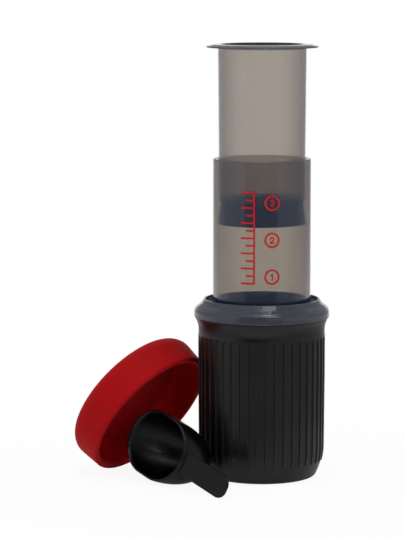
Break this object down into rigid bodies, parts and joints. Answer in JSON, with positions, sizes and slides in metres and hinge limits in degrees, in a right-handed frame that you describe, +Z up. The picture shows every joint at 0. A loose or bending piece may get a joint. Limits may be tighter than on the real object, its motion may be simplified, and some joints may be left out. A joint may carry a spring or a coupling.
{
  "type": "hand press coffee maker",
  "caption": "Travel hand press for coffee: smoke-tinted chamber and plunger standing on a fluted black mug, with its soft red lid and a scoop beside it.",
  "frame": {"origin": "centre of the mug's flat foot, on the surface that everything stands on", "axes": "+Z up along the axis of the mug, chamber and plunger; -Y towards the viewer; the lid and scoop lie towards -X"},
  "size_m": [0.1737, 0.145, 0.2946],
  "materials": {
    "mug_plastic": "fine matte",
    "smoke_plastic": "clear gloss, smoke tint",
    "cap_plastic": "satin",
    "filter_paper": "uncoated",
    "seal_rubber": "satin",
    "lid_silicone": "velvet matte",
    "scoop_plastic": "satin"
  },
  "bodies": {
    "mug": {"mug": "mug_plastic"},
    "chamber": {"chamber": "smoke_plastic"},
    "plunger": {"plunger_tube": "smoke_plastic", "plunger_seal": "seal_rubber"},
    "cap": {"filter_cap": "cap_plastic", "paper_filter": "filter_paper"},
    "lid": {"lid": "lid_silicone"},
    "scoop": {"scoop": "scoop_plastic"}
  },
  "joints": [
    {"name": "chamber_lift", "type": "slide", "parent": "mug", "child": "chamber", "axis": [0, 0, 1], "range_m": [0, 0.04]},
    {"name": "plunger_press", "type": "slide", "parent": "chamber", "child": "plunger", "axis": [0, 0, 1], "range_m": [-0.074, 0.055]},
    {"name": "cap_twist", "type": "hinge", "parent": "chamber", "child": "cap", "pos_m": [0, 0, 0.096], "axis": [0, 0, 1], "range_deg": [0, 36]},
    {"name": "lid_lift", "type": "slide", "parent": "mug", "child": "lid", "axis": [-0.6729, 0.4582, 0.5807], "range_m": [0, 0.08]},
    {"name": "scoop_lift", "type": "slide", "parent": "mug", "child": "scoop", "axis": [0.2004, -0.8419, 0.5011], "range_m": [0, 0.08]}
  ]
}
